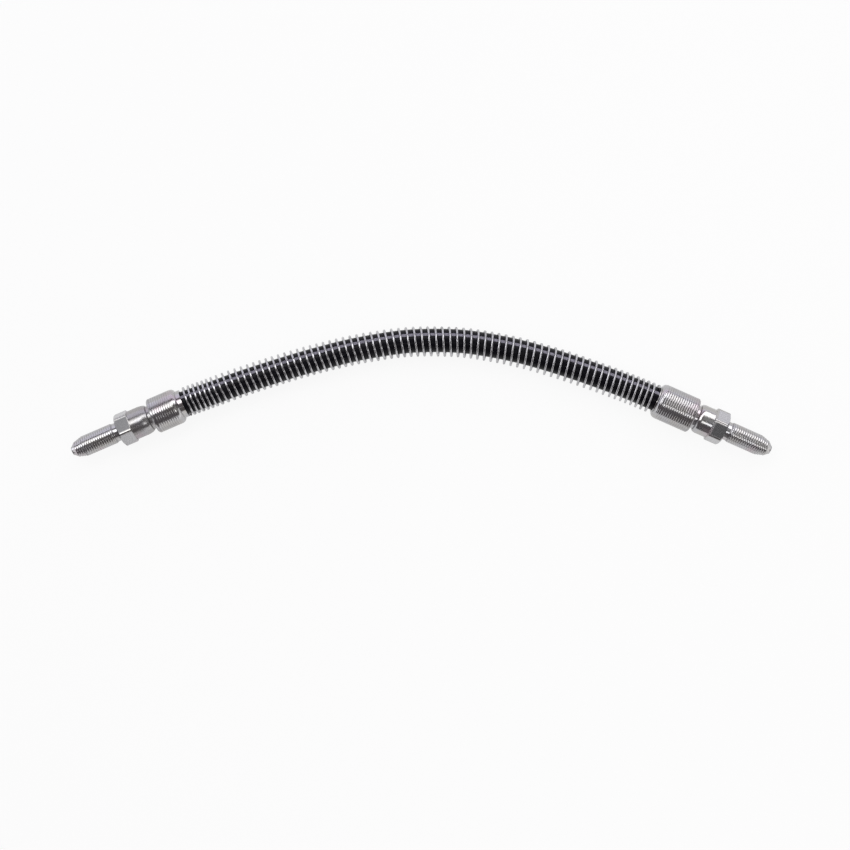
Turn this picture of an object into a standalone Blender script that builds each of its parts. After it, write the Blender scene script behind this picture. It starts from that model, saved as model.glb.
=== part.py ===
"""Hydraulic brake hose with a guard spring and a male fitting at each end, lying flat on the ground.

Units are metres. The floor is Z = 0, +X runs along the hose from one fitting to the other, and
the hose bows towards +Y.
"""

import math

import bmesh
import bpy
from mathutils import Matrix, Vector

# The gap left between two pieces that touch.
FIT = 0.0003

# Rubber hose: one moulded tube.
HOSE_OUTER = 0.0107
HOSE_BORE = 0.0032

# Guard spring: round wire wound right-handed round the hose, closer at its two ends.
GUARD_OUTER = 0.0138
WIRE = 0.0010
CLOSE_PITCH_LEFT = 0.0022
CLOSE_RUN_LEFT = 0.0125
CLOSE_PITCH_RIGHT = 0.00255
CLOSE_RUN_RIGHT = 0.0160
OPEN_PITCH_LEFT = 0.0030
OPEN_PITCH_RIGHT = 0.0032
PITCH_CHANGE_RUN = 0.0070
STEPS_PER_TURN = 10
START_TURN = math.radians(198)

# Crimped ferrules, which hold the hose on the stems of the fittings.
FERRULE_OUTER = 0.0164
LEFT_FERRULE_LENGTH = 0.0154
RIGHT_FERRULE_LENGTH = 0.0187
LEFT_LIP_OUTER = 0.0128
RIGHT_LIP_OUTER = 0.0126
LEFT_LIP_LENGTH = 0.0019
RIGHT_LIP_LENGTH = 0.0003
SHOULDER_LENGTH = 0.0025
FLANGE_THICKNESS = 0.0012
FERRULE_EDGE = 0.0006
RIB_PITCH = 0.00105
RIB_DEPTH = 0.00025

# End fittings: stem, waist, neck, hexagon and threaded stud, turned from one bar.
HEX_ACROSS_FLATS = 0.0140
LEFT_HEX_LENGTH = 0.0064
RIGHT_HEX_LENGTH = 0.0069
LEFT_HEX_TURN = math.radians(-16.6)
RIGHT_HEX_TURN = math.radians(14.0)
HEX_FACE_OUTER = 0.0130
HEX_BACK_BREAK = 0.0003
NECK_OUTER = 0.0136
LEFT_NECK_LENGTH = 0.0102
RIGHT_NECK_LENGTH = 0.0085
LEFT_NECK_SLOPE = 0.0040
RIGHT_NECK_SLOPE = 0.0022
WAIST_OUTER = 0.0110
WAIST_LENGTH = 0.0014
GROOVE_DEPTH = 0.0008
COLLAR_LENGTH = 0.0015
STEM_REACH = 0.0015
LEFT_STUD_LENGTH = 0.0233
RIGHT_STUD_LENGTH = 0.0228
THREAD_OUTER = 0.0094
RELIEF_OUTER = 0.0086
RELIEF_LENGTH = 0.0020
LEAD_LENGTH = 0.0036
NOSE_LENGTH = 0.0022
NOSE_BASE_OUTER = 0.0072
NOSE_TIP_OUTER = 0.0040
NOSE_TIP_ROUND = 0.0004
STUD_BORE = 0.0030
STEM_BORE = 0.0016
STUD_BORE_FLOOR = 0.0010

# Where the hose comes out of each ferrule, and which way each fitting points.
LEFT_MOUTH = (-0.1079, 0.0081)
RIGHT_MOUTH = (0.1066, 0.0098)
LEFT_HEADING = math.radians(180 + 23.4)
RIGHT_HEADING = math.radians(-24.0)

# The free run of the hose, seen from above.
ROUTE = [
    (-0.0955, 0.0125),
    (-0.0832, 0.0170),
    (-0.0708, 0.0211),
    (-0.0583, 0.0250),
    (-0.0457, 0.0286),
    (-0.0330, 0.0318),
    (-0.0201, 0.0343),
    (-0.0071, 0.0361),
    (0.0060, 0.0366),
    (0.0191, 0.0361),
    (0.0321, 0.0342),
    (0.0450, 0.0315),
    (0.0576, 0.0280),
    (0.0701, 0.0240),
    (0.0825, 0.0196),
    (0.0947, 0.0149),
]
SETTLE_RUN = 0.060
HOSE_STEPS_PER_SPAN = 2

ROUND_STEPS = 20
SHOULDER_STEPS = 4
NOSE_STEPS = 3
SMOOTH_ANGLE = math.radians(35)

AXIS_HEIGHT = FERRULE_OUTER / 2
RESTING_HEIGHT = GUARD_OUTER / 2


def finish(obj, color, roughness, metallic):
    """Gives an object its own plain material."""
    material = bpy.data.materials.new(obj.name)
    material.use_nodes = True
    shader = material.node_tree.nodes["Principled BSDF"]
    shader.inputs["Base Color"].default_value = (*color, 1.0)
    shader.inputs["Roughness"].default_value = roughness
    shader.inputs["Metallic"].default_value = metallic
    obj.data.materials.append(material)


def add_object(name, data):
    obj = bpy.data.objects.new(name, data)
    bpy.context.scene.collection.objects.link(obj)
    return obj


def turned(name, profile, end):
    """A solid turned from a closed profile of (radius, distance along the axis) points."""
    shape = bmesh.new()
    points = [shape.verts.new((radius, 0, along)) for radius, along in profile]
    edges = [shape.edges.new(pair) for pair in zip(points, points[1:] + points[:1])]
    bmesh.ops.spin(
        shape,
        geom=points + edges,
        axis=(0, 0, 1),
        angle=math.tau,
        steps=ROUND_STEPS,
        use_merge=True,
    )
    bmesh.ops.recalc_face_normals(shape, faces=shape.faces)
    mesh = bpy.data.meshes.new(name)
    shape.to_mesh(mesh)
    shape.free()
    mesh.shade_smooth()
    mesh.set_sharp_from_angle(angle=SMOOTH_ANGLE)
    obj = add_object(name, mesh)
    obj.parent = end
    return obj


def quarter(start, stop, steps):
    """Points of a quarter ellipse that leaves start square to the axis and reaches stop along it."""
    (radius_a, along_a), (radius_b, along_b) = start, stop
    turns = [math.pi / 2 * step / steps for step in range(steps + 1)]
    return [
        (
            radius_a + (radius_b - radius_a) * math.sin(turn),
            along_b - (along_b - along_a) * math.cos(turn),
        )
        for turn in turns
    ]


def seat_places(ferrule_length):
    """Distances along the axis to the ferrule's flange, the collar behind it and the hose's end."""
    flange = ferrule_length - FLANGE_THICKNESS
    collar = flange - FIT - COLLAR_LENGTH
    return flange, collar, collar - FIT


def ferrule_profile(length, lip_outer, lip_length):
    """A cup whose mouth takes the hose and whose flange grips the groove of the fitting."""
    hose_hole = HOSE_OUTER / 2 + FIT
    flange_hole = WAIST_OUTER / 2 - GROOVE_DEPTH + FIT
    crest = FERRULE_OUTER / 2
    valley = crest - RIB_DEPTH
    flange = seat_places(length)[0]
    ribs_start = lip_length + SHOULDER_LENGTH
    ribs_stop = length - FERRULE_EDGE
    count = int((ribs_stop - ribs_start) / RIB_PITCH)
    outside = [(lip_outer / 2, 0)]
    outside += quarter((lip_outer / 2, lip_length), (valley, ribs_start), SHOULDER_STEPS)
    for rib in range(count):
        foot = ribs_start + rib * RIB_PITCH
        outside += [(crest, foot + RIB_PITCH / 2), (valley, foot + RIB_PITCH)]
    outside += [(crest, ribs_stop), (crest - FERRULE_EDGE, length)]
    inside = [(flange_hole, length), (flange_hole, flange), (hose_hole, flange), (hose_hole, 0)]
    return outside + inside


def fitting_profile(ferrule_length, neck_length, neck_slope, hex_length, stud_length):
    """Stem, collar, groove, waist, neck, hexagon, stud and the drilling through them all."""
    flange, collar, _ = seat_places(ferrule_length)
    waist = WAIST_OUTER / 2
    groove = waist - GROOVE_DEPTH
    neck = NECK_OUTER / 2
    hex_back = ferrule_length + neck_length
    shoulder = hex_back + hex_length
    tip = shoulder + stud_length
    slope_start = ferrule_length + WAIST_LENGTH
    thread_stop = tip - NOSE_LENGTH - LEAD_LENGTH
    flat = HEX_ACROSS_FLATS / 2
    bar = HEX_ACROSS_FLATS / math.sqrt(3) + FIT
    bevel = (bar - HEX_FACE_OUTER / 2) * math.tan(math.radians(30))
    break_out = flat + HEX_BACK_BREAK
    break_rise = (bar - break_out) * math.tan(math.radians(30))
    stem = HOSE_BORE / 2 - FIT
    nose = quarter((STUD_BORE / 2, tip), (NOSE_TIP_OUTER / 2, tip - NOSE_TIP_ROUND), NOSE_STEPS)
    nose.append((NOSE_BASE_OUTER / 2, tip - NOSE_LENGTH))
    outside = [
        (stem, STEM_REACH),
        (stem, collar),
        (HOSE_OUTER / 2, collar),
        (HOSE_OUTER / 2, flange - FIT),
        (groove, flange - FIT),
        (groove, ferrule_length + FIT),
        (waist, ferrule_length + FIT),
        *quarter((waist, slope_start), (neck, slope_start + neck_slope), SHOULDER_STEPS),
        (neck, hex_back),
        (break_out, hex_back),
        (bar, hex_back + break_rise),
        (bar, shoulder - bevel),
        (HEX_FACE_OUTER / 2, shoulder),
        (RELIEF_OUTER / 2, shoulder),
        (RELIEF_OUTER / 2, shoulder + RELIEF_LENGTH),
        (THREAD_OUTER / 2, shoulder + RELIEF_LENGTH + (THREAD_OUTER - RELIEF_OUTER) / 2),
        (THREAD_OUTER / 2, thread_stop),
    ]
    bore_floor = hex_back + STUD_BORE_FLOOR
    inside = [
        (STUD_BORE / 2, bore_floor + (STUD_BORE - STEM_BORE) / 2),
        (STEM_BORE / 2, bore_floor),
        (STEM_BORE / 2, STEM_REACH),
    ]
    return outside + nose[::-1] + inside


def hex_bar(name, end, turn, length):
    """The hexagonal bar that a fitting is turned from, as a cutter, with a corner at turn from up."""
    shape = bmesh.new()
    first_corner = math.pi / 2
    bmesh.ops.create_cone(
        shape,
        cap_ends=True,
        segments=6,
        radius1=HEX_ACROSS_FLATS / math.sqrt(3),
        radius2=HEX_ACROSS_FLATS / math.sqrt(3),
        depth=2 * length,
        matrix=Matrix.Rotation(turn - first_corner, 4, "Z"),
    )
    mesh = bpy.data.meshes.new(name)
    shape.to_mesh(mesh)
    shape.free()
    bar = add_object(name, mesh)
    bar.parent = end
    bar.hide_render = True
    bar.display_type = "WIRE"
    return bar


def smooth_points(stops, steps):
    """Points on a Catmull-Rom curve through the stops, from the second stop to the last but one."""
    found = []
    for before, start, stop, after in zip(stops, stops[1:], stops[2:], stops[3:]):
        for step in range(steps):
            t = step / steps
            found.append(
                start
                + (stop - before) * (t / 2)
                + (before * 2 - start * 5 + stop * 4 - after) * (t * t / 2)
                + (start * 3 - before - stop * 3 + after) * (t * t * t / 2)
            )
    return found + [stops[-2]]


def distances(points):
    run = [0.0]
    for start, stop in zip(points, points[1:]):
        run.append(run[-1] + (stop - start).length)
    return run


def eased(share):
    share = min(max(share, 0.0), 1.0)
    return share * share * (3 - 2 * share)


def heading(angle):
    return Vector((math.cos(angle), math.sin(angle), 0))


def hose_line(steps):
    """The middle of the free hose, from mouth to mouth, settling from the ferrules to the floor."""
    left, right = Vector((*LEFT_MOUTH, 0)), Vector((*RIGHT_MOUTH, 0))
    inner = [Vector((x, y, 0)) for x, y in ROUTE]
    left_span, right_span = (inner[0] - left).length, (inner[-1] - right).length
    stops = [
        left + heading(LEFT_HEADING) * left_span,
        left,
        *inner,
        right,
        right + heading(RIGHT_HEADING) * right_span,
    ]
    points = smooth_points(stops, steps)
    run = distances(points)
    for point, along in zip(points, run):
        nearest_end = min(along, run[-1] - along)
        fall = eased(nearest_end / SETTLE_RUN) * (AXIS_HEIGHT - RESTING_HEIGHT)
        point.z = AXIS_HEIGHT - fall
    return points


def tube(name, points, outer, sides_level):
    """A curve object with a round section, through the given points."""
    curve = bpy.data.curves.new(name, "CURVE")
    curve.dimensions = "3D"
    curve.bevel_depth = outer / 2
    curve.bevel_resolution = sides_level
    spline = curve.splines.new("POLY")
    spline.points.add(len(points) - 1)
    for spot, point in zip(spline.points, points):
        spot.co = (*point, 1)
    return add_object(name, curve)


def rubber_hose():
    """A tube with an open bore, reaching back into each ferrule as far as the fitting's collar."""
    line = hose_line(HOSE_STEPS_PER_SPAN)
    left_end = seat_places(LEFT_FERRULE_LENGTH)[2]
    right_end = seat_places(RIGHT_FERRULE_LENGTH)[2]
    points = [
        line[0] + heading(LEFT_HEADING) * left_end,
        line[0] + heading(LEFT_HEADING) * left_end / 2,
        *line,
        line[-1] + heading(RIGHT_HEADING) * right_end / 2,
        line[-1] + heading(RIGHT_HEADING) * right_end,
    ]
    hose = tube("rubber_hose", points, HOSE_OUTER, 4)
    hose.data.use_fill_caps = False
    wall = hose.modifiers.new("wall", "SOLIDIFY")
    wall.thickness = (HOSE_OUTER - HOSE_BORE) / 2
    wall.offset = -1
    finish(hose, (0.02, 0.02, 0.022), 0.55, 0.0)


def pitch_at(along, length):
    """The distance between two turns of the guard, at a distance from its left end."""
    open_pitch = OPEN_PITCH_LEFT + (OPEN_PITCH_RIGHT - OPEN_PITCH_LEFT) * eased(along / length)
    left = eased((along - CLOSE_RUN_LEFT) / PITCH_CHANGE_RUN)
    right = eased((length - along - CLOSE_RUN_RIGHT) / PITCH_CHANGE_RUN)
    return (
        open_pitch
        + (CLOSE_PITCH_LEFT - open_pitch) * (1 - left)
        + (CLOSE_PITCH_RIGHT - open_pitch) * (1 - right)
    )


def guard_spring():
    """Wire wound round the line of the hose, between the mouths of the two ferrules."""
    line = hose_line(HOSE_STEPS_PER_SPAN * 4)
    run = distances(line)
    start, stop = WIRE / 2 + FIT, run[-1] - WIRE / 2 - FIT
    radius = (GUARD_OUTER - WIRE) / 2
    points = []
    along = start
    turn = START_TURN
    span = 0
    while along <= stop:
        while run[span + 1] < along:
            span += 1
        share = (along - run[span]) / (run[span + 1] - run[span])
        middle = line[span].lerp(line[span + 1], share)
        forward = (line[span + 1] - line[span]).normalized()
        side = Vector((0, 0, 1)).cross(forward).normalized()
        up = forward.cross(side)
        points.append(middle + (side * math.cos(turn) + up * math.sin(turn)) * radius)
        along += pitch_at(along, run[-1]) / STEPS_PER_TURN
        turn += math.tau / STEPS_PER_TURN
    spring = tube("guard_spring", points, WIRE, 1)
    spring.data.use_fill_caps = True
    finish(spring, (0.62, 0.63, 0.64), 0.30, 1.0)


def end_frame(name, mouth, direction):
    """An empty at a ferrule's mouth. Its Z axis points out along the fitting, and its X axis is up."""
    out, up = heading(direction), Vector((0, 0, 1))
    side = out.cross(up)
    place = Matrix((up, side, out)).transposed().to_4x4()
    place.translation = (*mouth, AXIS_HEIGHT)
    frame = add_object(name, None)
    frame.matrix_world = place
    return frame


def end_assembly(side, frame, hex_turn, ferrule, neck, hex_length, stud_length):
    """One end of the hose: the ferrule and the fitting that it holds."""
    ferrule_length, lip_outer, lip_length = ferrule
    neck_length, neck_slope = neck
    shell = turned(
        side + "_ferrule", ferrule_profile(ferrule_length, lip_outer, lip_length), frame
    )
    finish(shell, (0.60, 0.60, 0.61), 0.32, 1.0)
    fitting = turned(
        side + "_end_fitting",
        fitting_profile(ferrule_length, neck_length, neck_slope, hex_length, stud_length),
        frame,
    )
    length = ferrule_length + neck_length + hex_length + stud_length
    bar = hex_bar(side + "_hex_bar", frame, hex_turn, 2 * length)
    flats = fitting.modifiers.new("flats", "BOOLEAN")
    flats.operation = "INTERSECT"
    flats.object = bar
    finish(fitting, (0.64, 0.64, 0.65), 0.26, 1.0)


def build():
    for obj in list(bpy.data.objects):
        bpy.data.objects.remove(obj)
    left = end_frame("left_end", LEFT_MOUTH, LEFT_HEADING)
    right = end_frame("right_end", RIGHT_MOUTH, RIGHT_HEADING)
    end_assembly(
        "left",
        left,
        LEFT_HEX_TURN,
        (LEFT_FERRULE_LENGTH, LEFT_LIP_OUTER, LEFT_LIP_LENGTH),
        (LEFT_NECK_LENGTH, LEFT_NECK_SLOPE),
        LEFT_HEX_LENGTH,
        LEFT_STUD_LENGTH,
    )
    end_assembly(
        "right",
        right,
        -RIGHT_HEX_TURN,
        (RIGHT_FERRULE_LENGTH, RIGHT_LIP_OUTER, RIGHT_LIP_LENGTH),
        (RIGHT_NECK_LENGTH, RIGHT_NECK_SLOPE),
        RIGHT_HEX_LENGTH,
        RIGHT_STUD_LENGTH,
    )
    rubber_hose()
    guard_spring()


build()
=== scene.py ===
"""Looks of a hydraulic brake hose: a black rubber hose in a wound guard spring, with a crimped
ferrule and a male fitting at each end. It lies flat on a white studio floor, seen from above.

Units are metres and +Z is up.
"""

import math

import bmesh
import bpy
import numpy as np
from mathutils import Matrix, Vector


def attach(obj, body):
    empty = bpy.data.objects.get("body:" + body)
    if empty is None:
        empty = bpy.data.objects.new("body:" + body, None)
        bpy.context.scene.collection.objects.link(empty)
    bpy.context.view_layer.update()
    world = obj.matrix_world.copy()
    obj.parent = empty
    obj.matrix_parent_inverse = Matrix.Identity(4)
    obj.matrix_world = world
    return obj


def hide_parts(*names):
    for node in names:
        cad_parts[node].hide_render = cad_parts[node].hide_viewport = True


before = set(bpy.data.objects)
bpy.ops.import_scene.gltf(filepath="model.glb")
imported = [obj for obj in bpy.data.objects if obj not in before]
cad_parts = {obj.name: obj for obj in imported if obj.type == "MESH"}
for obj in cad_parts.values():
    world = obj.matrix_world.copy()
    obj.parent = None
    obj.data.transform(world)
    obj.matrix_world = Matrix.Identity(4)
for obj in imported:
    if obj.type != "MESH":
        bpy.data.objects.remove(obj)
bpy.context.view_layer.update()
scene = bpy.context.scene


# Camera: straight above the middle of the hose, with the top of the picture towards +Y.
# VIEW_WIDTH is what the picture spans at the height of the hose's own axis.
VIEW_MIDDLE = Vector((0.0016, -0.0019, 0.0082))
VIEW_WIDTH = 0.3864
VIEW_DISTANCE = 0.75

camera_data = bpy.data.cameras.new("camera")
camera_data.lens = camera_data.sensor_width * VIEW_DISTANCE / VIEW_WIDTH
camera = bpy.data.objects.new("camera", camera_data)
camera.location = VIEW_MIDDLE + Vector((0, 0, VIEW_DISTANCE))
scene.collection.objects.link(camera)
scene.camera = camera


# Rubber hose: one moulded tube of black rubber with its liner and braid bonded inside it.
# It is pushed over the stems of the fittings, bows towards +Y between the two ferrules, and
# settles from the height of the ferrules' axis until its guard spring lies on the floor.
HOSE_OUTER = 0.0107
HOSE_BORE = 0.0032
AXIS_HEIGHT = 0.0082
RESTING_HEIGHT = 0.0069
SETTLE_RUN = 0.060
LEFT_MOUTH = Vector((-0.1079, 0.0081, AXIS_HEIGHT))
RIGHT_MOUTH = Vector((0.1066, 0.0098, AXIS_HEIGHT))
LEFT_HEADING = math.radians(180 + 23.4)
RIGHT_HEADING = math.radians(-24.0)
LEFT_SEAT = 0.0121
RIGHT_SEAT = 0.0154
ROUTE = (
    (-0.0955, 0.0125),
    (-0.0832, 0.0170),
    (-0.0708, 0.0211),
    (-0.0583, 0.0250),
    (-0.0457, 0.0286),
    (-0.0330, 0.0318),
    (-0.0201, 0.0343),
    (-0.0071, 0.0361),
    (0.0060, 0.0366),
    (0.0191, 0.0361),
    (0.0321, 0.0342),
    (0.0450, 0.0315),
    (0.0576, 0.0280),
    (0.0701, 0.0240),
    (0.0825, 0.0196),
    (0.0947, 0.0149),
)
HOSE_STEPS_PER_SPAN = 8
HOSE_ROUNDNESS = 10
RUBBER_BLACK = (0.0034, 0.0031, 0.0060, 1.0)
RUBBER_BLOOM = (0.0065, 0.0060, 0.0085, 1.0)
BLOOM_SIZE = 0.012
GRAIN_SIZE = 0.0009
STREAK_SIZE = 0.0011
GRAIN_DEPTH = 0.00003
LINE_GREY = (0.300, 0.290, 0.345, 1.0)
LINE_WIDTH = 0.0014
LINE_TURN = 0.128
LINE_BLUR = 0.005
LINE_WANDER = 0.006


class Value:
    """A number that varies over a surface. Sums on it add the Math nodes that work them out."""

    def __init__(self, nodes, socket):
        self.nodes = nodes
        self.socket = socket

    def worked(self, operation, *operands):
        return self.nodes.node("ShaderNodeMath", {"operation": operation}, operands)

    def __add__(self, other):
        return self.worked("ADD", self, other)

    def __radd__(self, other):
        return self.worked("ADD", other, self)

    def __sub__(self, other):
        return self.worked("SUBTRACT", self, other)

    def __rsub__(self, other):
        return self.worked("SUBTRACT", other, self)

    def __mul__(self, other):
        return self.worked("MULTIPLY", self, other)

    def __rmul__(self, other):
        return self.worked("MULTIPLY", other, self)

    def root(self):
        return self.worked("SQRT", self)

    def size(self):
        return self.worked("ABSOLUTE", self)


class Nodes:
    """A tree of shader nodes that is being built up."""

    def __init__(self, tree):
        self.tree = tree

    def node(self, kind, settings=None, inputs=(), output=0):
        """Adds a node and gives one of its outputs."""
        node = self.tree.nodes.new(kind)
        for name, setting in (settings or {}).items():
            setattr(node, name, setting)
        for key, value in inputs.items() if isinstance(inputs, dict) else enumerate(inputs):
            self.feed(node.inputs[key], value)
        return Value(self, node.outputs[output])

    def feed(self, socket, value):
        if isinstance(value, Value):
            value = value.socket
        if isinstance(value, bpy.types.NodeSocket):
            self.tree.links.new(value, socket)
        else:
            socket.default_value = value

    def noise(self, place, size, detail=2.0, roughness=0.5):
        """A soft random pattern from 0 to 1, whose lumps are about size metres across."""
        return self.node(
            "ShaderNodeTexNoise",
            inputs={"Vector": place, "Scale": 1 / size, "Detail": detail, "Roughness": roughness},
        )

    def between(self, value, low, high):
        """0 below low, 1 above high, and a smooth rise between them."""
        return self.node(
            "ShaderNodeMapRange",
            {"interpolation_type": "SMOOTHSTEP"},
            {"Value": value, "From Min": low, "From Max": high},
        )

    def mix(self, share, first, second):
        """A mix of two colours, whose sockets on the node are its seventh and eighth."""
        return self.node(
            "ShaderNodeMix", {"data_type": "RGBA"}, {0: share, 6: first, 7: second}, output=2
        )


class Surface(Nodes):
    """A material being built up from nodes round its own shader."""

    def __init__(self, name, **constants):
        self.material = bpy.data.materials.new(name)
        self.material.use_nodes = True
        super().__init__(self.material.node_tree)
        self.shader = self.tree.nodes["Principled BSDF"]
        for socket, value in constants.items():
            self.shader.inputs[socket.replace("_", " ")].default_value = value
        self.place = self.node("ShaderNodeTexCoord", output="Object")

    def relief(self, height, depth, strength):
        """Turns a height from 0 to 1 into bumps of that depth in metres."""
        bump = self.node(
            "ShaderNodeBump",
            inputs={"Height": height, "Distance": depth, "Strength": strength},
        )
        self.feed(self.shader.inputs["Normal"], bump)

    def paint(self, **varying):
        """Feeds sockets of the shader with what varies over the surface."""
        for socket, value in varying.items():
            self.feed(self.shader.inputs[socket.replace("_", " ")], value)
        return self.material


def heading(angle):
    """The level direction at an angle from +X."""
    return Vector((math.cos(angle), math.sin(angle), 0))


def eased(share):
    """A smooth step from 0 to 1."""
    share = np.clip(share, 0, 1)
    return share**2 * (3 - 2 * share)


def distances(points):
    """How far along a line each of its points is."""
    return np.r_[0, np.cumsum(np.linalg.norm(np.diff(points, axis=0), axis=1))]


def smooth_points(stops, steps):
    """Points on a smooth curve through the stops, from the second stop to the last but one."""
    t = np.linspace(0, 1, steps, endpoint=False)[:, None]
    spans = [
        b
        + (c - a) * t / 2
        + (2 * a - 5 * b + 4 * c - d) * t**2 / 2
        + (3 * b - a - 3 * c + d) * t**3 / 2
        for a, b, c, d in zip(stops, stops[1:], stops[2:], stops[3:])
    ]
    return np.vstack([*spans, stops[-2]])


def hose_line():
    """The middle of the free hose, from mouth to mouth."""
    inner = [Vector((x, y, AXIS_HEIGHT)) for x, y in ROUTE]
    left_span, right_span = (inner[0] - LEFT_MOUTH).length, (inner[-1] - RIGHT_MOUTH).length
    stops = [
        LEFT_MOUTH + heading(LEFT_HEADING) * left_span,
        LEFT_MOUTH,
        *inner,
        RIGHT_MOUTH,
        RIGHT_MOUTH + heading(RIGHT_HEADING) * right_span,
    ]
    points = smooth_points(np.array(stops), HOSE_STEPS_PER_SPAN)
    run = distances(points)
    nearest_end = np.minimum(run, run[-1] - run)
    points[:, 2] = AXIS_HEIGHT - eased(nearest_end / SETTLE_RUN) * (AXIS_HEIGHT - RESTING_HEIGHT)
    return points


def round_length(name, points, outer, resolution):
    """A piece of round section along a line of points."""
    curve = bpy.data.curves.new(name, "CURVE")
    curve.dimensions = "3D"
    curve.bevel_depth = outer / 2
    curve.bevel_resolution = resolution
    curve.twist_mode = "Z_UP"
    spline = curve.splines.new("POLY")
    spline.points.add(len(points) - 1)
    spline.points.foreach_set("co", np.c_[points, np.ones(len(points))].ravel())
    piece = bpy.data.objects.new(name, curve)
    scene.collection.objects.link(piece)
    return piece


def rubber():
    """Black rubber with a dull bloom, a fine grain, the long faint streaks of its extrusion, and
    the thin grey line along it that shows whether a fitted hose is twisted."""
    surface = Surface("black_rubber", IOR=1.5, Specular_IOR_Level=0.12)
    grain = surface.noise(surface.place, GRAIN_SIZE, detail=4.0)
    drawn_out = surface.node(
        "ShaderNodeMapping", inputs={"Vector": surface.place, "Scale": (0.06, 1.0, 1.0)}
    )
    streaks = surface.noise(drawn_out, STREAK_SIZE, detail=3.0)
    bloom = surface.between(surface.noise(surface.place, BLOOM_SIZE, detail=3.0), 0.42, 0.72)
    surface.relief(0.55 * grain + 0.45 * streaks, GRAIN_DEPTH, 0.5)
    around = surface.node(
        "ShaderNodeSeparateXYZ",
        inputs=[surface.node("ShaderNodeTexCoord", output="UV")],
        output="Y",
    )
    half = LINE_WIDTH / (math.pi * HOSE_OUTER) / 2
    off_line = (around - LINE_TURN).size() + LINE_WANDER * (streaks - 0.5)
    line = 1.0 - surface.between(off_line, half - LINE_BLUR, half + LINE_BLUR)
    black = surface.mix(bloom, RUBBER_BLACK, RUBBER_BLOOM)
    return surface.paint(
        Base_Color=surface.mix(line * (0.55 + 0.6 * grain), black, LINE_GREY),
        Roughness=0.24 + 0.12 * streaks + 0.08 * bloom,
    )


free_line = hose_line()
left_run = np.array(heading(LEFT_HEADING)) * LEFT_SEAT
right_run = np.array(heading(RIGHT_HEADING)) * RIGHT_SEAT
hose_points = np.vstack(
    [
        free_line[0] + left_run,
        free_line[0] + left_run / 2,
        free_line,
        free_line[-1] + right_run / 2,
        free_line[-1] + right_run,
    ]
)
hose = round_length("hose_tube", hose_points, HOSE_OUTER, HOSE_ROUNDNESS)
wall = hose.modifiers.new("wall", "SOLIDIFY")
wall.thickness = (HOSE_OUTER - HOSE_BORE) / 2
wall.offset = -1
hose.data.materials.append(rubber())
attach(hose, "root")
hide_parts("rubber_hose")


# Guard spring: one length of bright drawn steel wire, wound right-handed round the hose so that
# it can't be kinked or chafed. It is trapped between the mouths of the ferrules, its turns closer
# there, and it lies against the outside of the hose's bend.
GUARD_OUTER = 0.0138
WIRE = 0.0010
FIRST_TURN = math.radians(198)
GUARD_END_GAP = 0.0008
GUARD_MEASURES = 20000
STEPS_PER_TURN = 36
WIRE_ROUNDNESS = 4
GUARD_PITCHES = (
    (0.000, 0.00226),
    (0.012, 0.00216),
    (0.019, 0.00294),
    (0.045, 0.00294),
    (0.075, 0.00306),
    (0.105, 0.00318),
    (0.140, 0.00315),
    (0.170, 0.00330),
    (0.200, 0.00307),
    (0.208, 0.00256),
    (0.223, 0.00249),
)
GUARD_SHIFTS = (
    (0.000, 0.0001),
    (0.015, 0.0003),
    (0.055, 0.0003),
    (0.088, -0.0001),
    (0.124, -0.0005),
    (0.200, -0.0005),
    (0.222, -0.0002),
)
WIRE_STEEL = (0.55, 0.55, 0.565, 1.0)
WIRE_SHADE = (0.30, 0.295, 0.30, 1.0)
DIE_MARK_SIZE = 0.00035
DIE_MARK_DEPTH = 0.000008
WIRE_GRIME_SIZE = 0.004


def guard_line():
    """The middle of the wire, turn by turn along the hose."""
    run = distances(free_line)
    along = np.linspace(GUARD_END_GAP, run[-1] - GUARD_END_GAP, GUARD_MEASURES)
    turns_per_metre = np.interp(along, *zip(*[(at, 1 / pitch) for at, pitch in GUARD_PITCHES]))
    turned = distances(np.c_[np.cumsum(turns_per_metre) * (along[1] - along[0])])
    count = int(turned[-1] * STEPS_PER_TURN)
    turn = np.arange(count + 1) / STEPS_PER_TURN
    along = np.interp(turn, turned, along)
    middle = np.stack([np.interp(along, run, free_line[:, axis]) for axis in range(3)], axis=1)
    forward = np.gradient(middle, axis=0)
    forward /= np.linalg.norm(forward, axis=1)[:, None]
    side = np.cross((0, 0, 1), forward)
    side /= np.linalg.norm(side, axis=1)[:, None]
    up = np.cross(forward, side)
    angle = FIRST_TURN + turn * math.tau
    radius = (GUARD_OUTER - WIRE) / 2
    shift = np.interp(along, *zip(*GUARD_SHIFTS))
    across = shift + radius * np.cos(angle)
    return middle + side * across[:, None] + up * (radius * np.sin(angle))[:, None]


def drawn_wire():
    """Bright steel wire with fine die marks and a little grime where it was handled."""
    surface = Surface("guard_wire", Metallic=1.0)
    marks = surface.noise(surface.place, DIE_MARK_SIZE, detail=3.0)
    grime = surface.between(surface.noise(surface.place, WIRE_GRIME_SIZE, detail=3.0), 0.45, 0.75)
    surface.relief(marks, DIE_MARK_DEPTH, 0.4)
    return surface.paint(
        Base_Color=surface.mix(0.6 * grime, WIRE_STEEL, WIRE_SHADE),
        Roughness=0.11 + 0.10 * marks + 0.12 * grime,
    )


guard = round_length("guard_coil", guard_line(), WIRE, WIRE_ROUNDNESS)
guard.data.use_fill_caps = True
guard.data.materials.append(drawn_wire())
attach(guard, "root")
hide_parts("guard_spring")


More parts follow.
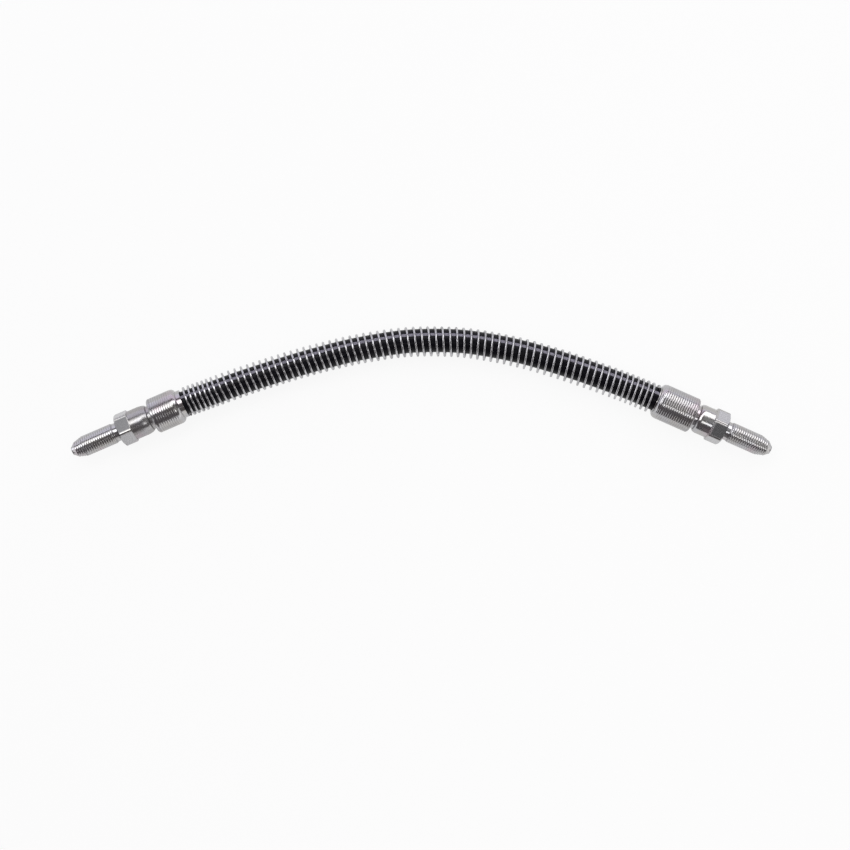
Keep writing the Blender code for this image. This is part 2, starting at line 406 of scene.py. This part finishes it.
# Ferrules: zinc-plated steel shells, slid over the hose and crimped on to it and the fitting's
# stem. A lip and a rounded shoulder stand at the mouth, fine ribs are turned round the barrel and
# over the right one's shoulder, and a flange is pressed into the fitting's groove.
ROUND_STEPS = 120
SMOOTH_ANGLE = math.radians(40)
TOUCHING = 1e-7
FIT = 0.0003
FERRULE_OUTER = 0.0164
LEFT_FERRULE_LENGTH = 0.0154
RIGHT_FERRULE_LENGTH = 0.0187
WAIST_OUTER = 0.0110
GROOVE_DEPTH = 0.0008
FLANGE_THICKNESS = 0.0012
COLLAR_LENGTH = 0.0015
FERRULE_EDGE = 0.0006
SHOULDER_LENGTH = 0.0025
SHOULDER_STEPS = 24
RIB_PITCH = 0.00105
RIB_DEPTH = 0.00007
RIB_STEPS = 12
GROOVE_SHARE = 0.42
CRIMP_DIES = 8
CRIMP_SHARE = 0.004
CRIMP_RISE = 0.002
CRIMP_FALL = 0.001
ZINC_BRIGHT = (0.50, 0.50, 0.515, 1.0)
ZINC_WARM = (0.49, 0.48, 0.465, 1.0)
ZINC_BLUSH = (0.50, 0.435, 0.465, 1.0)
ZINC_GRIME_AND_SHADE = (0.22, 0.21, 0.22, 1.0)
FLAT_GREY = (0.56, 0.56, 0.57, 1.0)
TOP_FLAT_SHADE_GREY = (0.150, 0.150, 0.155, 1.0)
FLAT_RADIUS = 0.0075
FLAT_BLUR = 0.0003
TOP_FLAT_SHADE_FROM = 0.0066
BAND_BLUR = 0.0002
TOOL_MARK_SIZE = 0.0006
TOOL_MARK_DEPTH = 0.000018
CLOUD_SIZE = 0.007
BLUSH_SIZE = 0.011
SPECK_SIZE = 0.0008


def end_place(mouth, direction):
    """The frame of one end: its origin at the ferrule's mouth, Z out along the axis, and X up."""
    out, up = heading(direction), Vector((0, 0, 1))
    place = Matrix((up, out.cross(up), out)).transposed().to_4x4()
    place.translation = mouth
    return place


def quarter(start, stop, steps):
    """Points of a quarter ellipse that leaves start square to the axis and reaches stop along it."""
    (radius_a, along_a), (radius_b, along_b) = start, stop
    turns = np.linspace(0, math.pi / 2, steps + 1)
    return [
        (
            radius_a + (radius_b - radius_a) * math.sin(turn),
            along_b - (along_b - along_a) * math.cos(turn),
        )
        for turn in turns
    ]


def turned(profile):
    """A solid turned from a closed profile of (radius, distance along the axis) points."""
    shape = bmesh.new()
    points = [shape.verts.new((radius, 0, along)) for radius, along in profile]
    edges = [shape.edges.new(pair) for pair in zip(points, points[1:] + points[:1])]
    bmesh.ops.spin(
        shape,
        geom=points + edges,
        axis=(0, 0, 1),
        angle=math.tau,
        steps=ROUND_STEPS,
        use_merge=True,
    )
    return shape


def finished_piece(name, shape, place, material):
    """Closes a shape and puts it in its place in the row frame."""
    bmesh.ops.remove_doubles(shape, verts=shape.verts, dist=TOUCHING)
    bmesh.ops.transform(shape, matrix=place, verts=shape.verts)
    bmesh.ops.recalc_face_normals(shape, faces=shape.faces)
    mesh = bpy.data.meshes.new(name)
    shape.to_mesh(mesh)
    shape.free()
    mesh.shade_smooth()
    mesh.set_sharp_from_angle(angle=SMOOTH_ANGLE)
    mesh.materials.append(material)
    piece = bpy.data.objects.new(name, mesh)
    scene.collection.objects.link(piece)
    return piece


def ferrule_profile(length, lip_outer, lip_length, ribs_start):
    """A cup whose mouth takes the hose and whose flange grips the groove of the fitting."""
    hose_hole = HOSE_OUTER / 2 + FIT
    flange_hole = WAIST_OUTER / 2 - GROOVE_DEPTH + FIT
    lip, crest = lip_outer / 2, FERRULE_OUTER / 2
    shoulder_stop = (crest, lip_length + SHOULDER_LENGTH)
    shoulder = quarter((lip, lip_length), shoulder_stop, SHOULDER_STEPS)
    ribs_stop = length - FERRULE_EDGE
    count = int((ribs_stop - ribs_start) / RIB_PITCH)
    share = np.arange(count * RIB_STEPS + 1) / RIB_STEPS
    along = ribs_start + share * RIB_PITCH
    crests = np.interp(along, [at for _, at in shoulder], [radius for radius, _ in shoulder])
    rise = eased((1 - abs(2 * (share % 1) - 1)) / GROOVE_SHARE)
    outside = [(lip, 0)]
    outside += [(radius, at) for radius, at in shoulder if at < ribs_start]
    outside += zip(crests - RIB_DEPTH * (1 - rise), along)
    outside += [(crest, ribs_stop), (crest - FERRULE_EDGE, length)]
    inside = [
        (flange_hole, length),
        (flange_hole, length - FLANGE_THICKNESS),
        (hose_hole, length - FLANGE_THICKNESS),
        (hose_hole, 0),
    ]
    return outside + inside


def crimp(shape, start, stop):
    """Presses the faint marks of the crimping dies into the outside of a ferrule's barrel."""
    bore = HOSE_OUTER / 2 + 2 * FIT
    for point in shape.verts:
        radius = math.hypot(point.co.x, point.co.y)
        if radius > bore:
            angle = math.atan2(point.co.y, point.co.x)
            along = point.co.z
            reach = float(eased((along - start) / CRIMP_RISE) * eased((stop - along) / CRIMP_FALL))
            press = CRIMP_SHARE * (0.5 - 0.5 * math.cos(CRIMP_DIES * angle)) * reach
            point.co.x *= 1 - press
            point.co.y *= 1 - press


def zinc_plate(name, place, valley, crest, grooves, flats=None, veiled=None):
    """Bright zinc plate on turned steel: rings of tool marks, a faint warm and pink passivation,
    and grime with painted shade in the grooves, from the valley's radius to the crest's. The
    hexagon's flats are duller and the uppermost is painted darker, as painted shade, and a veil
    of dirt may lie on the neck. grooves, flats and veiled start with the stretch of the axis that
    they lie on."""
    surface = Surface(name, Metallic=1.0)
    turned_place = surface.node(
        "ShaderNodeMapping",
        {"vector_type": "TEXTURE"},
        {
            "Vector": surface.place,
            "Location": place.translation,
            "Rotation": place.to_euler(),
        },
    )
    up, across, along = (
        surface.node("ShaderNodeSeparateXYZ", inputs=[turned_place], output=axis)
        for axis in ("X", "Y", "Z")
    )
    radius = (up * up + across * across).root()

    def stretch(start, stop):
        """1 along that stretch of the axis."""
        return surface.between(along, start - BAND_BLUR, start + BAND_BLUR) * (
            1.0 - surface.between(along, stop - BAND_BLUR, stop + BAND_BLUR)
        )

    rings_place = surface.node(
        "ShaderNodeMapping", inputs={"Vector": turned_place, "Scale": (0.06, 0.06, 3.0)}
    )
    rings = surface.noise(rings_place, TOOL_MARK_SIZE, detail=4.0, roughness=0.6)
    clouds = surface.noise(surface.place, CLOUD_SIZE, detail=3.0)
    blush = surface.noise(surface.place, BLUSH_SIZE)
    specks = surface.noise(surface.place, SPECK_SIZE, detail=4.0)
    # Painted shade: the valleys of the ribs and thread are darkened with a speckled grime colour,
    # standing in for the shade in these recesses as well as for grime.
    low = 1.0 - surface.between(radius, valley, crest)
    grime = low * stretch(*grooves) * (0.28 + 0.50 * specks)
    color = surface.mix(surface.between(clouds, 0.35, 0.65), ZINC_BRIGHT, ZINC_WARM)
    color = surface.mix(surface.between(blush, 0.52, 0.72), color, ZINC_BLUSH)
    color = surface.mix(grime, color, ZINC_GRIME_AND_SHADE)
    roughness = 0.10 + 0.08 * rings + 0.07 * specks + 0.18 * grime
    if flats:
        start, stop, top_flat_turn = flats
        inside_corners = 1.0 - surface.between(radius, FLAT_RADIUS, FLAT_RADIUS + FLAT_BLUR)
        dull = stretch(start, stop) * inside_corners
        # Painted shade: the flat that faces most nearly up is painted dark grey, standing in for the
        # dark reflection that the real flat shows.
        facing = up * math.cos(top_flat_turn) + across * math.sin(top_flat_turn)
        top_flat_shade = surface.between(facing, TOP_FLAT_SHADE_FROM, TOP_FLAT_SHADE_FROM + FLAT_BLUR)
        color = surface.mix(dull, color, surface.mix(top_flat_shade, FLAT_GREY, TOP_FLAT_SHADE_GREY))
        roughness = roughness + dull * (0.03 + 0.10 * specks)
        rings = rings * (1.0 - dull)
    if veiled:
        start, stop, amount = veiled
        veil = stretch(start, stop) * (amount * (0.5 + specks))
        color = surface.mix(veil, color, ZINC_GRIME_AND_SHADE)
        roughness = roughness + 0.28 * veil
    surface.relief(rings, TOOL_MARK_DEPTH, 0.6)
    return surface.paint(Base_Color=color, Roughness=roughness)


def ferrule(side, place, length, lip_outer, lip_length, ribs_start):
    """One ferrule: turned with its ribs, crimped and plated."""
    barrel = (lip_length + SHOULDER_LENGTH, length)
    shape = turned(ferrule_profile(length, lip_outer, lip_length, ribs_start))
    crimp(shape, *barrel)
    crest = FERRULE_OUTER / 2
    plating = zinc_plate(side + "_ferrule_zinc", place, crest - RIB_DEPTH, crest, barrel)
    shell = finished_piece(side + "_ferrule_shell", shape, place, plating)
    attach(shell, "root")
    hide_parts(side + "_ferrule")
    return shell


left_place = end_place(LEFT_MOUTH, LEFT_HEADING)
right_place = end_place(RIGHT_MOUTH, RIGHT_HEADING)
ferrule(
    "left",
    left_place,
    LEFT_FERRULE_LENGTH,
    lip_outer=0.0128,
    lip_length=0.0019,
    ribs_start=0.0044,
)
right_shell = ferrule(
    "right",
    right_place,
    RIGHT_FERRULE_LENGTH,
    lip_outer=0.0126,
    lip_length=0.0003,
    ribs_start=0.0009,
)


# End fittings: each is turned from one bar of hexagonal steel and zinc plated. A convex seat nose
# and a rolled thread go into the brake system's port, the hexagon takes a spanner, and the neck
# runs back to the groove that holds the ferrule and to the drilled stem inside the hose.
HEX_ACROSS_FLATS = 0.0140
HEX_CORNER_ROUND = 0.0010
HEX_FACE_OUTER = 0.0130
HEX_BACK_BREAK = 0.0003
HEX_CHAMFER = math.tan(math.radians(30))
NECK_OUTER = 0.0136
WAIST_LENGTH = 0.0014
STEM_REACH = 0.0015
THREAD_OUTER = 0.0094
THREAD_PITCH = 0.0254 / 24
THREAD_DEPTH = 0.14 * THREAD_PITCH
THREAD_STEPS = 15
CREST_REACH = 0.3
RELIEF_OUTER = 0.0086
RELIEF_LENGTH = 0.0020
LEAD_LENGTH = 0.0036
NOSE_LENGTH = 0.0022
NOSE_BASE_OUTER = 0.0072
NOSE_TIP_OUTER = 0.0040
NOSE_TIP_ROUND = 0.0004
STUD_BORE = 0.0030
STEM_BORE = 0.0016
STUD_BORE_FLOOR = 0.0010
HEX_SIDES = 6
CORNER_STEPS = 6
HEX_EDGE_SHARE = 0.02
HEX_ROWS = (0.0, HEX_EDGE_SHARE, 0.25, 0.5, 0.75, 1 - HEX_EDGE_SHARE)
NECK_STEPS = 12
NOSE_STEPS = 8
CLEAN_UNSHADED_SHARE = 0.3


def fitting_profile(ferrule_length, neck_length, neck_slope, hex_length, stud_length):
    """The turned outline and its drilling, with the rows that become the hexagon and the thread."""
    flange = ferrule_length - FLANGE_THICKNESS
    collar = flange - FIT - COLLAR_LENGTH
    waist, neck = WAIST_OUTER / 2, NECK_OUTER / 2
    groove = waist - GROOVE_DEPTH
    hex_back = ferrule_length + neck_length
    shoulder = hex_back + hex_length
    tip = shoulder + stud_length
    slope_start = ferrule_length + WAIST_LENGTH
    thread_start, thread_stop = shoulder + RELIEF_LENGTH, tip - NOSE_LENGTH
    rows = int((thread_stop - thread_start) / THREAD_PITCH * THREAD_STEPS)
    bar = HEX_ACROSS_FLATS / 2
    stem = HOSE_BORE / 2 - FIT
    nose_edge = (NOSE_TIP_OUTER / 2, tip - NOSE_TIP_ROUND)
    nose = quarter((STUD_BORE / 2, tip), nose_edge, NOSE_STEPS)
    nose.append((NOSE_BASE_OUTER / 2, tip - NOSE_LENGTH))
    outside = [
        (stem, STEM_REACH),
        (stem, collar),
        (HOSE_OUTER / 2, collar),
        (HOSE_OUTER / 2, flange - FIT),
        (groove, flange - FIT),
        (groove, ferrule_length + FIT),
        (waist, ferrule_length + FIT),
        *quarter((waist, slope_start), (neck, slope_start + neck_slope), NECK_STEPS),
        (neck, hex_back),
    ]
    hexagon = [(bar, hex_back + share * hex_length) for share in HEX_ROWS]
    stud = [(HEX_FACE_OUTER / 2, shoulder), (RELIEF_OUTER / 2, shoulder)]
    threaded = np.linspace(thread_start, thread_stop, rows)[:-1]
    stud += [(RELIEF_OUTER / 2, along) for along in threaded]
    bore_floor = hex_back + STUD_BORE_FLOOR
    inside = [
        (STUD_BORE / 2, bore_floor + (STUD_BORE - STEM_BORE) / 2),
        (STEM_BORE / 2, bore_floor),
        (STEM_BORE / 2, STEM_REACH),
    ]
    return outside + hexagon + stud + nose[::-1] + inside


def hex_reach(angle):
    """The radius of the round-cornered hexagon at an angle from the middle of one of its flats."""
    half = math.pi / HEX_SIDES
    angle = abs((angle + half) % (2 * half) - half)
    flat = HEX_ACROSS_FLATS / 2
    reach = (flat - HEX_CORNER_ROUND) / math.cos(half)
    if angle < math.atan(reach * math.sin(half) / flat):
        return flat / math.cos(angle)
    lean = half - angle
    return reach * math.cos(lean) + math.sqrt(HEX_CORNER_ROUND**2 - (reach * math.sin(lean)) ** 2)


def bunched_angle(angle):
    """Moves some of the evenly spread steps of a turn to the corners of the hexagon."""
    half = math.pi / HEX_SIDES
    sector, steps = 2 * half, ROUND_STEPS // HEX_SIDES
    flat = HEX_ACROSS_FLATS / 2
    edge = math.atan((flat - HEX_CORNER_ROUND) * math.tan(half) / flat)
    step = round(angle / sector * steps)
    side, step = divmod(step, steps)
    flat_steps = steps - CORNER_STEPS
    if step <= flat_steps:
        within = -edge + 2 * edge * step / flat_steps
    else:
        within = edge + 2 * (half - edge) * (step - flat_steps) / CORNER_STEPS
    return side * sector + within


def cut_hexagon(point, angle, hex_back, shoulder):
    """Brings a point of the turned bar out to the hexagon and back to its chamfers."""
    reach = hex_reach(angle)
    back = hex_back + max(0.0, reach - HEX_ACROSS_FLATS / 2 - HEX_BACK_BREAK) * HEX_CHAMFER
    front = shoulder - (reach - HEX_FACE_OUTER / 2) * HEX_CHAMFER
    share = (point.co.z - hex_back) / (shoulder - hex_back)
    if share < HEX_EDGE_SHARE / 2:
        return min(reach, HEX_ACROSS_FLATS / 2 + HEX_BACK_BREAK), hex_back
    return reach, back + (front - back) * (share - HEX_EDGE_SHARE) / (1 - 2 * HEX_EDGE_SHARE)


def roll_thread(point, angle, start, tip):
    """The radius of the thread at a point. It fades into the relief, and its crests step down
    along the lead to the nose."""
    turns = point.co.z / THREAD_PITCH - angle / math.tau
    height = float(eased(abs(2 * (turns % 1.0) - 1) / GROOVE_SHARE))
    crest_at = (round(turns) + CREST_REACH + angle / math.tau) * THREAD_PITCH
    lead_start = tip - NOSE_LENGTH - LEAD_LENGTH
    share = min(max((crest_at - lead_start) / LEAD_LENGTH, 0.0), 1.0)
    crest = (THREAD_OUTER + (NOSE_BASE_OUTER - THREAD_OUTER) * share) / 2
    cut = float(eased((point.co.z - start) / THREAD_PITCH))
    return RELIEF_OUTER / 2 + (crest - THREAD_DEPTH * (1 - height) - RELIEF_OUTER / 2) * cut


def end_fitting(side, place, ferrule_length, hex_corner, neck, hex_length, stud_length, highlight_edge_and_veil):
    """One fitting: turned, then its hexagon shaped, its thread rolled, and plated. neck is its
    length and the length of its slope. highlight_edge_and_veil is how much of the flats' back edge
    is left bright zinc as a painted highlight, and how thick the veil of dirt on the neck is."""
    neck_length, neck_slope = neck
    highlight_edge, neck_veil = highlight_edge_and_veil
    shape = turned(fitting_profile(ferrule_length, neck_length, neck_slope, hex_length, stud_length))
    hex_back = ferrule_length + neck_length
    shoulder = hex_back + hex_length
    tip = shoulder + stud_length
    thread_start = shoulder + RELIEF_LENGTH
    thread_stop = tip - NOSE_LENGTH
    first_flat = hex_corner + math.pi / HEX_SIDES
    bar = HEX_ACROSS_FLATS / 2
    for point in shape.verts:
        radius = math.hypot(point.co.x, point.co.y)
        angle = bunched_angle(math.atan2(point.co.y, point.co.x) % math.tau)
        along = point.co.z
        on_stud = abs(radius - RELIEF_OUTER / 2) < TOUCHING
        if abs(radius - bar) < TOUCHING:
            radius, along = cut_hexagon(point, angle, hex_back, shoulder)
        elif on_stud and thread_start - TOUCHING < along < thread_stop:
            radius = roll_thread(point, angle + first_flat, thread_start, tip)
        turn = angle + first_flat
        point.co = (radius * math.cos(turn), radius * math.sin(turn), along)
    plating = zinc_plate(
        side + "_fitting_zinc",
        place,
        THREAD_OUTER / 2 - THREAD_DEPTH,
        THREAD_OUTER / 2 - CLEAN_UNSHADED_SHARE * THREAD_DEPTH,
        (thread_start, thread_stop - LEAD_LENGTH),
        # Painted highlight: the flats' dull and dark paint starts a little past the hexagon's back,
        # leaving a strip of bright zinc there.
        (hex_back + highlight_edge, shoulder, first_flat),
        (ferrule_length, hex_back, neck_veil),
    )
    body = finished_piece(side + "_fitting_body", shape, place, plating)
    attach(body, "root")
    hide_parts(side + "_end_fitting")
    return body


end_fitting(
    "left",
    left_place,
    LEFT_FERRULE_LENGTH,
    hex_corner=math.radians(-16.6),
    neck=(0.0102, 0.0040),
    hex_length=0.0064,
    stud_length=0.0233,
    highlight_edge_and_veil=(0.0002, 0.34),
)
right_body = end_fitting(
    "right",
    right_place,
    RIGHT_FERRULE_LENGTH,
    hex_corner=math.radians(-14.0),
    neck=(0.0085, 0.0022),
    hex_length=0.0069,
    stud_length=0.0228,
    highlight_edge_and_veil=(0.0010, 0.0),
)


# Floor: a plain white studio sweep under the hose. It shows white to the camera, a little less
# white in the plating, and keeps the soft shadow under the hose.
FLOOR_SIZE = 40.0
FLOOR_WHITE = (0.90, 0.90, 0.90, 1.0)
FLOOR_LIFT = 0.90
FLOOR_IN_PLATING = 0.6

shape = bmesh.new()
bmesh.ops.create_grid(shape, x_segments=1, y_segments=1, size=FLOOR_SIZE / 2)
mesh = bpy.data.meshes.new("floor")
shape.to_mesh(mesh)
shape.free()
floor = bpy.data.objects.new("floor", mesh)
scene.collection.objects.link(floor)
sweep = Surface("floor_white", Base_Color=FLOOR_WHITE, Roughness=0.9)
seen = sweep.node("ShaderNodeLightPath", output="Is Camera Ray")
mirrored = sweep.node("ShaderNodeLightPath", output="Is Glossy Ray")
refracted = sweep.node("ShaderNodeLightPath", output="Is Transmission Ray")
glow = sweep.node("ShaderNodeEmission", inputs={"Color": (1, 1, 1, 1), "Strength": 1.0})
lift = (seen + FLOOR_IN_PLATING * mirrored + refracted) * FLOOR_LIFT
shown = sweep.node("ShaderNodeMixShader", inputs=[lift, sweep.shader.outputs[0], glow])
sweep.feed(sweep.tree.nodes["Material Output"].inputs["Surface"], shown)
mesh.materials.append(sweep.material)


# Studio light: a tall soft box stands aslant behind the hose in three lengths, with a dim low one
# below it. Others hang overhead, stand low in front and stand past each end, with dark gaps that
# the plating shows as bands. The fill lights only what is dull, so colours render as written.
TALL_TURN = 35.9
TALL_LEAN = 84.7
OVERHEAD_TURN = -24.0
WHITE = (1.0, 1.0, 1.0)
SILVER_WHITE = (0.985, 0.98, 1.0)
LAVENDER_WHITE = (0.89, 0.88, 1.0)
COOL_WHITE = (0.98, 1.0, 1.0)
SOFT_BOXES = (
    ("tall_box", (0.130, 0.575, 0.725), (TALL_TURN, TALL_LEAN), (1.02, 0.55), 2.6, SILVER_WHITE),
    ("right_tall_box", (1.088, 1.268, 1.15), (TALL_TURN, TALL_LEAN), (1.35, 1.5), 2.3, SILVER_WHITE),
    ("left_tall_box", (-0.451, 0.155, 1.190), (TALL_TURN, TALL_LEAN), (0.42, 1.42), 1.7, WHITE),
    ("low_box", (0.345, 0.760, 0.125), (TALL_TURN, 90.0), (3.0, 0.24), 0.97, LAVENDER_WHITE),
    ("left_box", (-0.370, 0.270, 1.000), (55.0, 0.0), (0.42, 0.26), 1.6, WHITE),
    ("small_box", (0.220, -0.360, 0.900), (OVERHEAD_TURN, 0.0), (0.38, 0.23), 2.2, WHITE),
    ("dim_box", (0.877, -0.092, 0.950), (OVERHEAD_TURN, 0.0), (1.35, 0.45), 0.26, COOL_WHITE),
    ("front_box", (0.420, -0.620, 0.170), (0.0, -90.0), (0.80, 0.34), 0.90, WHITE),
    ("left_end_box", (-1.1, -0.3, 0.24), (90.0, 90.0), (1.2, 0.48), 1.0, WHITE),
    ("right_end_box", (1.1, -0.3, 0.24), (-90.0, 90.0), (1.2, 0.48), 1.0, WHITE),
)
WORLD_GREY = (0.126, 0.114, 0.119, 1.0)
WORLD_SEEN = (0.95, 0.95, 0.95, 1.0)


def soft_box(name, middle, angles, size, radiance, color):
    """A rectangular lamp that faces down, leant back, then turned about the vertical."""
    turn, lean = (math.radians(angle) for angle in angles)
    lamp_data = bpy.data.lights.new(name, "AREA")
    lamp_data.shape = "RECTANGLE"
    lamp_data.size, lamp_data.size_y = size
    lamp_data.energy = radiance * math.pi * size[0] * size[1]
    lamp_data.color = color
    lamp = bpy.data.objects.new(name, lamp_data)
    lamp.matrix_world = (
        Matrix.Translation(middle) @ Matrix.Rotation(turn, 4, "Z") @ Matrix.Rotation(-lean, 4, "X")
    )
    lamp.visible_camera = False
    scene.collection.objects.link(lamp)
    return lamp


for box in SOFT_BOXES:
    soft_box(*box)
fill = soft_box("fill", (0.0, 0.0, 1.5), (0.0, 0.0), (2.0, 2.0), 0.35, WHITE)
fill.visible_glossy = False

world = bpy.data.worlds.new("studio")
scene.world = world
world.use_nodes = True
sky = Nodes(world.node_tree)
open_view = sky.node("ShaderNodeLightPath", output="Is Camera Ray")
sky.feed(
    world.node_tree.nodes["Background"].inputs["Color"],
    sky.mix(open_view, WORLD_GREY, WORLD_SEEN),
)
scene.view_settings.view_transform = "Standard"
